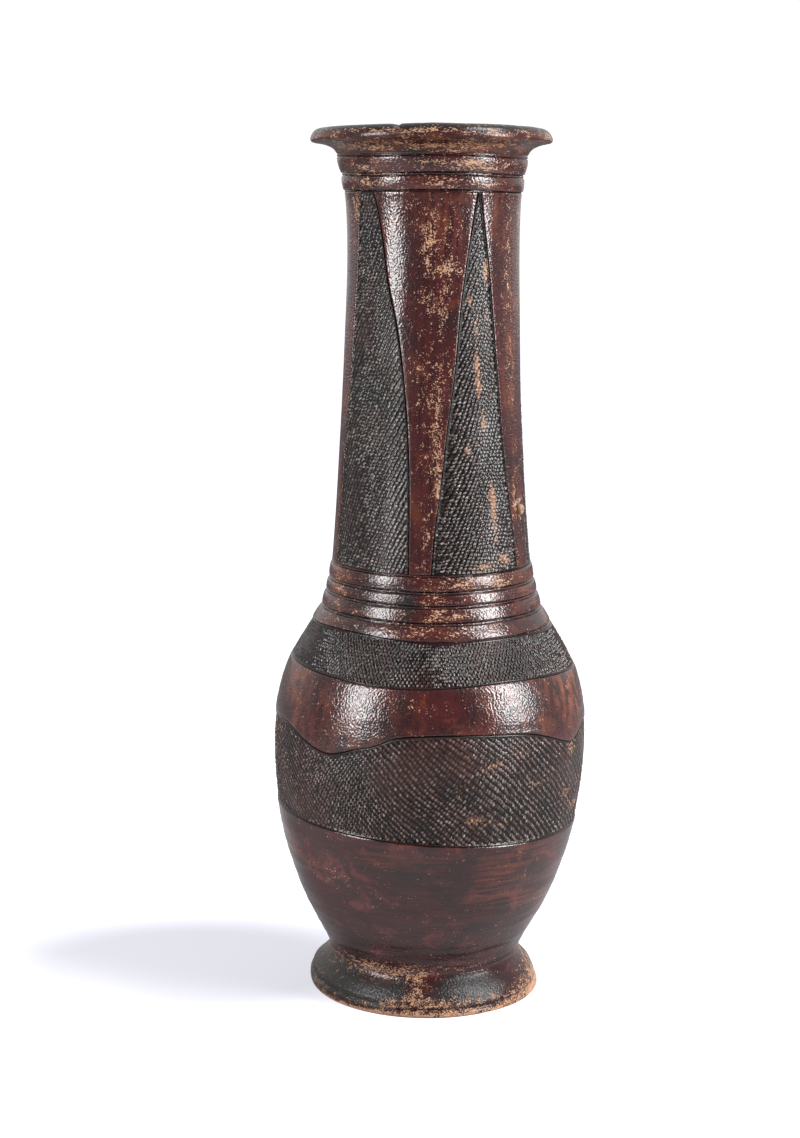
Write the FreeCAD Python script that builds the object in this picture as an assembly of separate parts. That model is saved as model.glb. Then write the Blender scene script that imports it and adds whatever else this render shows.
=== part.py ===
import FreeCAD, Part
import os

# A tall necked pottery vessel, hand built from wall sections that are luted together.
# Lengths are in millimetres. Z is up, the axis of the vessel is the Z axis, and it
# stands on Z = 0. An azimuth of 0 faces -Y, and azimuths grow towards +X.

# Walls
wall = 9.0
floor_thickness = 11.0
lip_thickness = 10.0

# Foot, a hollow flaring ring
foot_height = 31.0
foot_waist_radius = 76.5
foot_edge_radius = 95.0
foot_edge_rise = 6.0
foot_rest_radius = 93.0
foot_rest_width = 6.5
foot_seat_width = 12.0

# Heights of the wall sections, from the foot up
lower_wall_height = 121.0
belly_band_height = 86.0
shoulder_band_height = 36.5
collar_height = 32.0
base_flare_height = 12.7
base_band_heights = (12.7, 10.6, 13.2)
neck_height = 293.0
throat_band_heights = (13.1, 14.7)
rim_height = 23.5

# Outside radii at the lines between the sections
belly_radius = 128.8
ridge_radius = 97.0
base_line_radii = (88.8, 85.4, 82.7, 80.6)
neck_pull_radii = (67.9, 66.0)
throat_line_radii = (69.8, 71.2, 75.0)
lip_radius = 95.0
mouth_edge_radius = 82.0

# The lip: how far its widest line lies below the mouth, and the height of its face
lip_drop = 9.5
lip_face_height = 3.2

# Outside radii at the lines of the body, as shares of the belly's radius
lower_line_radius_share = 0.957
shoulder_line_radius_share = 0.978
collar_line_radius_share = 0.898

# Curves between the lines, as shares of the height and of the radius between two lines
lower_curve_shares = ((0.10, 0.165), (0.23, 0.405), (0.41, 0.65), (0.60, 0.835))
belly_widest_share = 0.64
collar_curve_share = (0.60, 0.57)
neck_pull_shares = (0.50, 0.97)
neck_inside_shares = (0.0, 0.35, 0.80)
foot_hollow_share = (0.60, 0.42)
rim_flare_share = (0.56, 0.42)
lip_bevel_share = (0.70, 0.30)

# Incised lines, cut as V grooves
line_width = 2.2
line_depth = 1.1

# Ornament: impressed zones lie a little below the burnished surface
impressed_depth = 0.8
panel_count = 5
panel_azimuth = 30.0
panel_base_half_width = 39.6
panel_tip_half_width = 3.0
scallop_azimuths = (-39.0, 60.0, 147.0, 234.0)
scallop_drop = 20.0
scallop_half_width = 54.0

# The small worn pellet on the neck
boss_azimuth = 66.0
boss_height_on_neck = 46.0
boss_radius = 4.2
boss_rise = 2.4
boss_bevel = 1.2
boss_pit_radius = 1.3
boss_pit_depth = 1.2

# Joints between sections are bevelled: they climb this much per unit inwards
seam_climb_share = 0.35
floor_seam_radius = 50.0

# Cutting tools run past what they cut by this much
overrun = 12.0


def stack(start, steps):
    """The levels reached by adding each step in turn."""
    levels = [start]
    for step in steps:
        levels.append(levels[-1] + step)
    return levels


lower_line = foot_height + lower_wall_height
shoulder_line = lower_line + belly_band_height
collar_line = shoulder_line + shoulder_band_height
ridge_line = collar_line + collar_height
base_lines = stack(ridge_line + base_flare_height, base_band_heights)
throat_lines = stack(base_lines[-1] + neck_height, throat_band_heights)
lower_line_radius = belly_radius * lower_line_radius_share
shoulder_line_radius = belly_radius * shoulder_line_radius_share
collar_line_radius = belly_radius * collar_line_radius_share
mouth_level = throat_lines[-1] + rim_height
belly_level = lower_line + belly_band_height * belly_widest_share
panel_foot = base_lines[-1] + line_width / 2
panel_tip = throat_lines[0] - line_width / 2


def point(radius, level):
    """A point of the half section, in the XZ plane."""
    return FreeCAD.Vector(radius, 0, level)


def between(start, end, share):
    """The point at a share of the height and a share of the radius between two points."""
    level_share, radius_share = share
    return point(
        start.x + (end.x - start.x) * radius_share,
        start.z + (end.z - start.z) * level_share,
    )


def body_stations():
    """The outside of the body, from the foot to the ridge under the neck."""
    waist = point(foot_waist_radius, foot_height)
    widest = point(belly_radius, belly_level)
    collar = point(collar_line_radius, collar_line)
    ridge = point(ridge_radius, ridge_line)
    lower = [between(waist, widest, share) for share in lower_curve_shares]
    lines = [point(lower_line_radius, lower_line), widest, point(shoulder_line_radius, shoulder_line)]
    return [waist] + lower + lines + [collar, between(collar, ridge, collar_curve_share), ridge]


def base_stations():
    """The four incised lines at the foot of the neck."""
    return [point(radius, level) for radius, level in zip(base_line_radii, base_lines)]


def throat_stations():
    """The three incised lines under the rim."""
    return [point(radius, level) for radius, level in zip(throat_line_radii, throat_lines)]


def neck_poles():
    """The poles of the neck's outline, which draw it in to a slight waist under the throat."""
    foot = base_stations()[-1]
    throat = throat_stations()[0]
    pulls = [
        point(radius, foot.z + neck_height * share)
        for radius, share in zip(neck_pull_radii, neck_pull_shares)
    ]
    return [foot] + pulls + [throat]


def inset(stations, depth):
    """The same stations moved inwards by the depth, square to the line through their neighbours."""
    moved = []
    for index, station in enumerate(stations):
        before = stations[max(index - 1, 0)]
        after = stations[min(index + 1, len(stations) - 1)]
        along = (after - before).normalize()
        moved.append(point(station.x - depth * along.z, station.z + depth * along.x))
    return moved


def smooth(stations):
    """One smooth edge through the stations."""
    curve = Part.BSplineCurve()
    curve.interpolate(stations)
    return curve.toShape()


def drawn(poles):
    """One edge drawn towards its inner poles."""
    curve = Part.BezierCurve()
    curve.setPoles(poles)
    return curve.toShape()


def straight(stations):
    """Straight edges from each station to the next."""
    return [Part.makeLine(start, end) for start, end in zip(stations, stations[1:])]


def outside_edges(depth):
    """The outside of the wall from the foot to the highest incised line, moved in by a depth."""
    body = inset(body_stations(), depth)
    base = inset(base_stations(), depth)
    neck = inset(neck_poles(), depth)
    throat = inset(throat_stations(), depth)
    edges = [smooth(body)] + straight([body[-1]] + base)
    edges.append(drawn([base[-1]] + neck[1:-1] + [throat[0]]))
    edges += straight(throat)
    return edges, body[0], throat[-1]


def rim_edges(throat):
    """The everted lip from the highest incised line over the mouth, and where it ends inside."""
    face_foot = point(lip_radius, mouth_level - lip_drop)
    face_top = point(lip_radius, mouth_level - lip_drop + lip_face_height)
    mouth_edge = point(mouth_edge_radius, mouth_level)
    bevel = between(face_top, mouth_edge, lip_bevel_share)
    inner_top = point(mouth_edge_radius - lip_thickness, mouth_level - lip_thickness / 2)
    inner_throat = point(throat.x - wall, throat.z - wall / 2)
    flare = Part.Arc(throat, between(throat, face_foot, rim_flare_share), face_foot).toShape()
    lip = [face_foot, face_top, bevel, mouth_edge, inner_top, inner_throat]
    return [flare] + straight(lip), inner_throat


def inside_edges(inner_throat):
    """The inside of the wall, from the throat down to the middle of the floor."""
    neck_outline = drawn(neck_poles()).Curve
    neck = inset([neck_outline.value(share) for share in neck_inside_shares], wall)
    body = inset(body_stations(), wall)
    corner = point(floor_seam_radius + floor_thickness, foot_height + floor_thickness)
    centre = point(0, foot_height + floor_thickness)
    return straight([inner_throat] + neck[::-1] + body[:1:-1] + [corner, centre])


def turned(edges):
    """The solid made by turning a closed outline about the axis of the vessel."""
    face = Part.Face(Part.Wire(Part.__sortEdges__(edges)))
    return face.revolve(FreeCAD.Vector(0, 0, 0), FreeCAD.Vector(0, 0, 1), 360)


def turned_polygon(points):
    """The solid made by turning a polygon of section points."""
    return turned(Part.makePolygon(points + points[:1]).Edges)


def plain_wall():
    """The floor and the whole wall up to the lip, as one hollow solid without ornament."""
    outside, waist, throat = outside_edges(0)
    rim, inner_throat = rim_edges(throat)
    inside = inside_edges(inner_throat)
    centre = point(0, foot_height)
    floor = point(0, foot_height + floor_thickness)
    closing = [Part.makeLine(centre, waist), Part.makeLine(floor, centre)]
    return turned(outside + rim + inside + closing)


def sunk_core():
    """A filled solid whose outside lies below the burnished surface by the impressed depth."""
    outside, waist, throat = outside_edges(impressed_depth)
    low = point(0, waist.z)
    high = point(0, throat.z)
    closing = [Part.makeLine(low, waist), Part.makeLine(throat, high), Part.makeLine(high, low)]
    return turned(outside + closing)


def facing(shape, azimuth):
    """A copy of a shape made facing azimuth 0, turned to its own azimuth."""
    copy = shape.copy()
    copy.rotate(FreeCAD.Vector(0, 0, 0), FreeCAD.Vector(0, 0, 1), azimuth)
    return copy


def wedge(half_widths, levels, reach):
    """A tapering block that runs from the axis out through the wall towards azimuth 0."""
    low, high = levels
    low_half, high_half = half_widths
    corners = [(-low_half, low), (low_half, low), (high_half, high), (-high_half, high)]
    outline = [FreeCAD.Vector(x, 0, level) for x, level in corners]
    face = Part.Face(Part.makePolygon(outline + outline[:1]))
    return face.extrude(FreeCAD.Vector(0, -reach, 0))


def panel_tools():
    """The tall tapering panels round the neck."""
    reach = max(base_line_radii) + overrun
    panel = wedge((panel_base_half_width, panel_tip_half_width), (panel_foot, panel_tip), reach)
    azimuths = [panel_azimuth + 360 / panel_count * index for index in range(panel_count)]
    return [facing(panel, azimuth) for azimuth in azimuths]


def level_band(reach, low, high):
    """A disc between two levels, out to a radius."""
    return turned_polygon([point(0, low), point(reach, low), point(reach, high), point(0, high)])


def belly_tool():
    """The impressed band of the belly, whose upper edge drops in scallops."""
    reach = belly_radius + overrun
    band = level_band(reach, lower_line, shoulder_line)
    rise = scallop_drop + overrun
    half_width = scallop_half_width * rise / scallop_drop
    tip = line_width / 2
    levels = (shoulder_line - scallop_drop, shoulder_line + overrun)
    scallop = wedge((tip, half_width), levels, reach)
    return band.cut([facing(scallop, azimuth) for azimuth in scallop_azimuths])


def collar_tool():
    """The impressed band of the collar, between the shoulder and the ridge."""
    return level_band(collar_line_radius + overrun, collar_line, ridge_line)


def line_tool(station):
    """A ring that cuts one V groove round the vessel."""
    return turned_polygon(
        [
            point(station.x - line_depth, station.z),
            point(station.x + line_depth, station.z - line_width),
            point(station.x + line_depth, station.z + line_width),
        ]
    )


def ornamented_wall():
    """The wall with its sunk bands and panels and its incised lines."""
    core = sunk_core()
    zones = panel_tools() + [belly_tool(), collar_tool()]
    recesses = [zone.cut(core) for zone in zones]
    lines = [line_tool(station) for station in base_stations() + throat_stations()]
    return plain_wall().cut(recesses + lines)


def seam_level(seam, radius):
    """The level of a bevelled joint at a radius: it climbs inwards from its outside line."""
    return seam.z + (seam.x - radius) * seam_climb_share


def section_zone(low, high):
    """All that lies between two bevelled joints."""
    reach = belly_radius + overrun
    return turned_polygon(
        [
            point(0, seam_level(low, 0)),
            point(reach, seam_level(low, reach)),
            point(reach, seam_level(high, reach)),
            point(0, seam_level(high, 0)),
        ]
    )


def wall_sections():
    """The wall cut into the sections that it is built from, and the floor disc."""
    vessel = ornamented_wall()
    bottom = point(foot_waist_radius, -mouth_level)
    top = point(lip_radius, mouth_level * 2)
    seams = [
        bottom,
        point(lower_line_radius, lower_line),
        point(shoulder_line_radius, shoulder_line),
        point(collar_line_radius, collar_line),
        point(ridge_radius, ridge_line),
        base_stations()[-1],
        throat_stations()[0],
        throat_stations()[-1],
        top,
    ]
    names = [
        "lower_wall",
        "belly_wall",
        "shoulder_wall",
        "collar_wall",
        "neck_base",
        "neck_tube",
        "throat_band",
        "rim_lip",
    ]
    sections = {}
    for name, low, high in zip(names, seams, seams[1:]):
        sections[name] = vessel.common(section_zone(low, high))
    disc_zone = turned_polygon(
        [
            point(0, foot_height - overrun),
            point(floor_seam_radius - overrun * seam_climb_share, foot_height - overrun),
            point(
                floor_seam_radius + (floor_thickness + overrun) * seam_climb_share,
                foot_height + floor_thickness + overrun,
            ),
            point(0, foot_height + floor_thickness + overrun),
        ]
    )
    sections["floor_disc"] = sections["lower_wall"].common(disc_zone)
    sections["lower_wall"] = sections["lower_wall"].cut(disc_zone)
    return sections


def foot_ring():
    """The flaring foot, hollow beneath, with a flat seat for the body and a thin edge."""
    seat_outer = point(foot_waist_radius, foot_height)
    edge = point(foot_edge_radius, foot_edge_rise)
    rest_outer = point(foot_rest_radius, 0)
    rest_inner = point(foot_rest_radius - foot_rest_width, 0)
    seat_inner = point(foot_waist_radius - foot_seat_width, foot_height)
    outer_flare = Part.Arc(seat_outer, between(seat_outer, edge, foot_hollow_share), edge).toShape()
    inner_middle = between(seat_inner, rest_inner, foot_hollow_share)
    plain = straight([edge, rest_outer, rest_inner, inner_middle, seat_inner, seat_outer])
    return turned([outer_flare] + plain)


def outside_radius(solid, level):
    """The outside radius of a solid of revolution at a level, towards +X."""
    reach = belly_radius + overrun
    probe = Part.makeLine(FreeCAD.Vector(0, 0, level), FreeCAD.Vector(reach, 0, level))
    return probe.common(solid).BoundBox.XMax


def neck_boss(neck):
    """The worn pellet, bevelled, with a small pit, seated on the outside of the neck."""
    level = base_lines[-1] + boss_height_on_neck
    outline = [
        point(0, -boss_rise),
        point(boss_radius, -boss_rise),
        point(boss_radius, boss_rise - boss_bevel),
        point(boss_radius - boss_bevel, boss_rise),
        point(boss_pit_radius, boss_rise),
        point(0, boss_rise - boss_pit_depth),
    ]
    pellet = turned_polygon(outline)
    pellet.rotate(FreeCAD.Vector(0, 0, 0), FreeCAD.Vector(1, 0, 0), 90)
    pellet.translate(FreeCAD.Vector(0, -outside_radius(neck, level), level))
    return facing(pellet, boss_azimuth).cut(neck)


def build():
    """Every sub-part by its name."""
    parts = wall_sections()
    parts["foot_ring"] = foot_ring()
    parts["neck_boss"] = neck_boss(parts["neck_tube"])
    return parts


os.makedirs("parts", exist_ok=True)
for name, shape in build().items():
    solids = shape.Solids
    print(name, "solids", len(solids), "valid", shape.isValid(), "volume", round(shape.Volume, 1))
    piece = solids[0] if len(solids) == 1 else shape
    piece.exportStep("parts/" + name + ".step")
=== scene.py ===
import bpy
import math
import numpy as np
from mathutils import Matrix, Vector


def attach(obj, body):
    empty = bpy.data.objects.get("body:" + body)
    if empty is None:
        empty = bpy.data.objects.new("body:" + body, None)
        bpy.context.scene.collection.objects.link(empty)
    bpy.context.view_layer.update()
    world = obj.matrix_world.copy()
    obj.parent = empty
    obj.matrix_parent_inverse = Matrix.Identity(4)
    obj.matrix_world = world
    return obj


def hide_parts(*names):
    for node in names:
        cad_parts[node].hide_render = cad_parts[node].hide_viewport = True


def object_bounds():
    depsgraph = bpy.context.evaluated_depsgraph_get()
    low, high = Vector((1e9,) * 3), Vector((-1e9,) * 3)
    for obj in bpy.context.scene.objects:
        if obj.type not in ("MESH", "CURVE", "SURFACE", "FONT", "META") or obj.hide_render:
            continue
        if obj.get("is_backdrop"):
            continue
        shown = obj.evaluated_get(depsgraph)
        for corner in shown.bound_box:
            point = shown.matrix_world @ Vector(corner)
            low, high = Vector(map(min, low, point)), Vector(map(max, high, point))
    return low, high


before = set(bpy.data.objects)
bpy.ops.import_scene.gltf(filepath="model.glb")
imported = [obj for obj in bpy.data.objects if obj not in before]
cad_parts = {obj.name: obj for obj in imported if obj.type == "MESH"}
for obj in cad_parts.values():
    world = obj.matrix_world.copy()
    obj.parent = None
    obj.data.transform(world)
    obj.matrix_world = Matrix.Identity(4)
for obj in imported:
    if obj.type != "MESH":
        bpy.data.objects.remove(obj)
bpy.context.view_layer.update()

# Lengths below are in millimetres and angles in degrees, until a mesh or a light is made.
# Azimuth 0 faces the camera (-Y) and azimuths grow towards +X, the right of the picture.
MM = 0.001
COARSE = 1.0
rng = np.random.default_rng(41)


def new_object(name, data):
    """An object in the scene for a mesh, a light or a camera."""
    made = bpy.data.objects.new(name, data)
    bpy.context.scene.collection.objects.link(made)
    return made


# The camera, fitted to the ellipses of the mouth, the incised lines and the foot
CAMERA_PLACE = (-25.5, -1681.7, 634.4)
CAMERA_PITCH = 9.694
CAMERA_ROLL = 0.617
PICTURE_HEIGHT = 1138
FOCAL_PIXELS = 2100
SENSOR = 36.0
FARTHEST_SEEN = 50

camera = new_object("camera", bpy.data.cameras.new("camera"))
camera.data.sensor_fit = "VERTICAL"
camera.data.sensor_height = SENSOR
camera.data.lens = FOCAL_PIXELS / PICTURE_HEIGHT * SENSOR
camera.data.clip_end = FARTHEST_SEEN
pitch = Matrix.Rotation(math.radians(90 - CAMERA_PITCH), 4, "X")
roll = Matrix.Rotation(math.radians(CAMERA_ROLL), 4, "Z")
camera.matrix_world = Matrix.Translation(Vector(CAMERA_PLACE) * MM) @ pitch @ roll
bpy.context.scene.camera = camera


# Curves and smooth random fields
def smooth_line(points, per_span=40):
    """A natural cubic curve through points, sampled evenly between them."""
    points = np.asarray(points, float)
    steps = np.maximum(np.linalg.norm(np.diff(points, axis=0), axis=1), 1e-9)
    slopes = np.diff(points, axis=0) / steps[:, None]
    matrix = np.eye(len(points))
    right = np.zeros_like(points)
    for i in range(1, len(steps)):
        matrix[i, i - 1 : i + 2] = steps[i - 1], 2 * (steps[i - 1] + steps[i]), steps[i]
        right[i] = 6 * (slopes[i] - slopes[i - 1])
    bend = np.linalg.solve(matrix, right)
    out = []
    for i, h in enumerate(steps):
        s = np.linspace(0, h, per_span, endpoint=False)[:, None]
        a, b = h - s, s
        out.append(
            (bend[i] * a**3 + bend[i + 1] * b**3) / (6 * h)
            + (points[i] / h - bend[i] * h / 6) * a
            + (points[i + 1] / h - bend[i + 1] * h / 6) * b
        )
    return np.concatenate(out + [points[-1:]])


def wrap(azimuth):
    """The same azimuth between -180 and 180."""
    return (np.asarray(azimuth, float) + 180) % 360 - 180


def round_curve(points):
    """A smooth closed function of azimuth through (azimuth, value) points."""
    points = sorted(points)
    wrapped = [(a - 360, v) for a, v in points] + points + [(a + 360, v) for a, v in points]
    line = smooth_line(wrapped)
    return lambda azimuth: np.interp(wrap(azimuth), line[:, 0], line[:, 1])


def level_curve(points):
    """A smooth function of height through (height, value) points."""
    line = smooth_line(sorted(points))
    return lambda level: np.interp(level, line[:, 0], line[:, 1])


def ease(x):
    """A smooth step from 0 to 1."""
    x = np.clip(x, 0, 1)
    return x * x * (3 - 2 * x)


class Field:
    """Smooth random values, mostly between -1 and 1, the same at both ends of a turn."""

    REACH = 760
    GAIN = 1.7

    def __init__(self, round_cells, cell_height):
        self.round_cells = round_cells
        self.cell_height = cell_height
        self.values = rng.uniform(-1, 1, (int(self.REACH / cell_height) + 6, round_cells))

    def __call__(self, azimuth, level):
        u = np.asarray(azimuth, float) / 360 * self.round_cells
        v = np.asarray(level, float) / self.cell_height + 2
        iu, iv = np.floor(u).astype(int), np.floor(v).astype(int)
        fu, fv = u - iu, v - iv
        total = 0
        for dv, wv in enumerate(self.weights(fv)):
            row = np.clip(iv + dv - 1, 0, self.values.shape[0] - 1)
            for du, wu in enumerate(self.weights(fu)):
                total = total + wv * wu * self.values[row, (iu + du - 1) % self.round_cells]
        return total * self.GAIN

    @staticmethod
    def weights(f):
        """The shares of four neighbours in a cubic B-spline."""
        return (
            (1 - f) ** 3 / 6,
            (3 * f**3 - 6 * f**2 + 4) / 6,
            (-3 * f**3 + 3 * f**2 + 3 * f + 1) / 6,
            f**3 / 6,
        )


# The vessel's outline, as (level, radius) points
FOOT_TOP = 31.0
LOWER_LINE = 152.0
SHOULDER_LINE = 238.0
COLLAR_LINE = 274.5
BASE_LINES = (306.5, 319.2, 331.9, 342.5, 355.7)
RIDGE_LINE, NECK_FOOT = BASE_LINES[0], BASE_LINES[-1]
THROAT_LINES = (648.7, 661.8, 676.5)
NECK_TOP, THROAT_TOP = THROAT_LINES[0], THROAT_LINES[-1]
MOUTH = 700.0

BODY = smooth_line([
    (FOOT_TOP, 76.5), (48.6, 85.1), (71.5, 97.7), (103.2, 110.5), (136.6, 120.2), (LOWER_LINE, 122.9),
    (207, 127.6), (SHOULDER_LINE, 125.6), (COLLAR_LINE, 115.4), (293.7, 104.9), (RIDGE_LINE, 97),
])
BASE = np.column_stack([BASE_LINES, (97, 88.8, 85.4, 82.7, 80.6)])
share = np.linspace(0, 1, 60)[:, None]
NECK = (
    (1 - share) ** 3 * (NECK_FOOT, 80.6)
    + 3 * (1 - share) ** 2 * share * (502.2, 67.9)
    + 3 * (1 - share) * share**2 * (639.9, 66.0)
    + share**3 * (NECK_TOP, 69.8)
)
THROAT = np.column_stack([THROAT_LINES, (69.8, 71.2, 75.0)])
OUTLINE = np.concatenate([BODY[:-1], BASE[:-1], NECK[:-1], THROAT])
INSIDE = np.array([
    (42, 61), (45, 66), (48.6, 76.3), (71.5, 89.6), (103.2, 102.3), (136.6, 111.6), (LOWER_LINE, 114.2),
    (207, 119.0), (SHOULDER_LINE, 116.8), (COLLAR_LINE, 106.9), (293.7, 97.2), (RIDGE_LINE, 89.5),
    (353, 71.9), (456, 62.6), (560, 58.7), (648, 61.2), (672, 66.0),
])

# The seams of the wall as they lie on its inner side, and how far the neck's are over the lines outside
SEAMS = {
    "lower_wall": (44, 155), "belly_wall": (155, 241), "shoulder_wall": (241, 277.5),
    "collar_wall": (277.5, 309), "neck_base": (309, 358), "throat_band": (651, 672),
}
SEAM_RISE = 2.4


def outside(level):
    """The radius of the turned outline at a level."""
    return np.interp(level, OUTLINE[:, 0], OUTLINE[:, 1])


def inside(level):
    """The radius of the hollow at a level."""
    return np.interp(level, INSIDE[:, 0], INSIDE[:, 1])


# The axis wanders a little, as on any vessel built up by hand
lean = level_curve([
    (0, -2), (31, -2), (110, -1.2), (200, 0), (320, 0), (430, -1.0), (560, -1.6), (650, -2.8), (700, -4.8),
])
swell = Field(5, 90)
dents = Field(14, 34)
LARGEST = 127.85


def hand(azimuth, level):
    """How far the surface stands off the turned outline because it was shaped by hand."""
    return 0.50 * swell(azimuth, level) + 0.20 * dents(azimuth, level)


def placed(azimuth, level, radius):
    """Points of space from azimuths, levels and radii."""
    angle = np.radians(azimuth)
    return np.stack(
        [radius * np.sin(angle) + lean(level), -radius * np.cos(angle), level + 0 * radius], -1
    )


def inner_side(azimuth, level):
    """Points on the inner side of the wall, uneven as fingers left it."""
    return placed(azimuth, level, inside(level) + 0.35 * dents(azimuth + 31, level))


# Meshes
# The relief mask is how high the clay stands; the materials paint shade into its low places, the pits and the
# pressed lines.
MASKS = ("relief", "wear", "smoke", "bare", "warm", "inside")
SHARP_ANGLE = 70


def grid_faces(ids, closed, closed_up=False, flip=False):
    """The quads of a grid of point numbers, whose rows run round the vessel."""
    above = np.roll(ids, -1, axis=0)
    quads = np.stack([ids, np.roll(ids, -1, axis=1), np.roll(above, -1, axis=1), above], -1)
    rows = ids.shape[0] - (0 if closed_up else 1)
    columns = ids.shape[1] - (0 if closed else 1)
    quads = quads[:rows, :columns].reshape(-1, 4)
    return quads[:, ::-1] if flip else quads


def lacing(fine, coarse, closed, flip=False):
    """Faces that join a fine border to a coarse one, several fine steps to each coarse one."""
    open_end = 0 if closed else 1
    count = len(coarse) - open_end
    ratio = (len(fine) - open_end) // count
    faces = []
    for j in range(count):
        steps = [fine[(j * ratio + k) % len(fine)] for k in range(ratio + 1)]
        face = steps + [coarse[(j + 1) % len(coarse)], coarse[j]]
        faces.append(face[::-1] if flip else face)
    return faces


def mesh_piece(name, points, quads, joins, masks, look, nodes, normals=None):
    """A piece from points in millimetres, quads, other faces and the masks of its material.

    It rides on the body, hides the given nodes that it stands in for, and takes its look's material.
    """
    sizes = np.array([4] * len(quads) + [len(join) for join in joins], np.int32)
    corners = np.concatenate([quads.reshape(-1)] + joins).astype(np.int32)
    mesh = bpy.data.meshes.new(name)
    mesh.vertices.add(len(points))
    mesh.vertices.foreach_set("co", (points * MM).astype(np.float32).reshape(-1))
    mesh.loops.add(len(corners))
    mesh.loops.foreach_set("vertex_index", corners)
    mesh.polygons.add(len(sizes))
    mesh.polygons.foreach_set("loop_start", np.append(0, np.cumsum(sizes)[:-1]).astype(np.int32))
    mesh.update(calc_edges=True)
    mesh.validate()
    mesh.polygons.foreach_set("use_smooth", np.ones(len(sizes), bool))
    mesh.set_sharp_from_angle(angle=math.radians(SHARP_ANGLE))
    for key in MASKS:
        layer = mesh.attributes.new(key, "FLOAT", "POINT")
        values = masks.get(key, np.zeros(len(points)))
        layer.data.foreach_set("value", values.astype(np.float32).reshape(-1))
    material, slot = look
    mesh.materials.append(material)
    if normals is not None:
        mesh.normals_split_custom_set_from_vertices(normals)
    piece = new_object(name, mesh)
    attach(piece, "root")
    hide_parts(*nodes)


def shell(name, outer, inner, closed, masks, look, nodes, normals=None):
    """A solid piece of wall: a fine outer grid, a coarse inner grid and the borders between."""
    points = np.concatenate([outer.reshape(-1, 3), inner.reshape(-1, 3)])
    inner_count = inner[..., 0].size
    outer_count = len(points) - inner_count
    outer_id = np.arange(outer_count).reshape(outer.shape[:2])
    inner_id = outer_count + np.arange(inner_count).reshape(inner.shape[:2])
    quads = np.concatenate([grid_faces(outer_id, closed), grid_faces(inner_id, closed, flip=True)])
    joins = lacing(outer_id[0], inner_id[0], closed, flip=True)
    joins += lacing(outer_id[-1], inner_id[-1], closed)
    if not closed:
        joins += lacing(outer_id[:, 0], inner_id[:, 0], False)
        joins += lacing(outer_id[:, -1], inner_id[:, -1], False, flip=True)
    masks = {key: np.append(value, np.zeros(inner_count)) for key, value in masks.items()}
    masks["inside"] = np.repeat([0.0, 1.0], [outer_count, inner_count])
    if normals is not None:
        normals = np.concatenate([normals.reshape(-1, 3), np.zeros((inner_count, 3))])
    mesh_piece(name, points, quads, joins, masks, look, nodes, normals)


def steps_between(low, high, step, lines, half, fine):
    """Levels from low to high about a step apart, set closer within half a band of the given lines."""
    step, fine = step * COARSE, fine * COARSE
    levels = [np.arange(low, high, step)]
    for line in lines:
        near = np.arange(line - half, line + half + fine / 2, fine)
        levels = [part[np.abs(part - line) > half + step * 0.4] for part in levels]
        levels.append(near[(near > low) & (near < high)])
    return np.unique(np.round(np.concatenate(levels + [[low, high]]), 4))


def shares(low, high, step, lines, half, fine=0.4):
    """Levels between two mean heights as shares of the way up."""
    return (steps_between(low, high, step, lines, half, fine) - low) / (high - low)


def even_count(levels, by):
    """The same levels with one or more added so that the steps divide evenly."""
    while (len(levels) - 1) % by:
        widest = np.argmax(np.diff(levels))
        levels = np.insert(levels, widest + 1, levels[widest : widest + 2].mean())
    return levels


# Tool marks
def groove(distance, half_width, depth):
    """A pressed line: a rounded V whose displaced clay stands up a little beside it."""
    d = np.abs(distance) / half_width
    return -depth * np.clip(1 - d, 0, 1) ** 1.2 + 0.07 * depth * np.exp(-((d - 1.5) ** 2) / 0.18)


def double_groove(distance, depth):
    """Two fine lines pressed close together, with a thin ridge left between them."""
    return groove(distance - 0.95, 0.9, depth) + groove(distance + 0.95, 0.9, depth * 0.85)


BEAD_CELLS = (257, 263)
PASSES = 127
bead_sizes = rng.uniform(0.30, 1.0, BEAD_CELLS) ** 0.7
bead_shift = rng.uniform(-0.12, 0.12, (2,) + BEAD_CELLS)
pass_shift = rng.uniform(-0.5, 0.5, PASSES)
pass_depth = rng.uniform(-0.16, 0.16, PASSES)
bead_drift = [Field(26, 22) for _ in range(4)]
bead_depth = Field(22, 22)


def impressions(azimuth, level, along, across, drift, depth, faint, rows_a_pass, bead_long, bead_wide):
    """Rows of small beads left by a rolled stamp, a few rows to each pass, and how high they stand.

    along counts the beads of a row and across the rows. Both wander by less than the drift.
    """

    def wander(broad, small):
        return drift * (0.5 * broad(azimuth, level) + 0.2 * small(azimuth * 3, level * 1.7))

    row = across + wander(bead_drift[2], bead_drift[3])
    stamped = np.floor(row / rows_a_pass).astype(int) % PASSES
    bead = along + wander(bead_drift[0], bead_drift[1]) + pass_shift[stamped]
    i, j = np.floor(bead).astype(int), np.floor(row).astype(int)
    cell = i % BEAD_CELLS[0], j % BEAD_CELLS[1]
    off_bead = bead - i - 0.5 - bead_shift[0][cell]
    off_row = row - j - 0.5 - bead_shift[1][cell]
    far = (off_bead / bead_long) ** 2 + (off_row / bead_wide) ** 2
    dome = np.clip(1 - far, 0, 1) ** 0.6 * bead_sizes[cell]
    strength = np.clip(0.88 + 0.45 * bead_depth(azimuth, level) + pass_depth[stamped] - faint, 0.40, 1.15)
    offset = depth * (strength * (dome - 1) - 0.45 * (1 - strength))
    return offset, np.clip(strength * dome + 0.5 * (1 - strength), 0, 1)


# Where wear and smoke lie
blotch = Field(22, 26)
Field(60, 9)  # not used, but the random draws below follow on from this field's


def spots(azimuth, level, places):
    """A sum of soft patches, each given by azimuth, level, half widths and strength."""
    total = 0
    for centre, height, wide, tall, strength in places:
        away = (wrap(azimuth - centre) / wide) ** 2 + ((level - height) / tall) ** 2
        total = total + strength * np.exp(-away)
    return total


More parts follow.
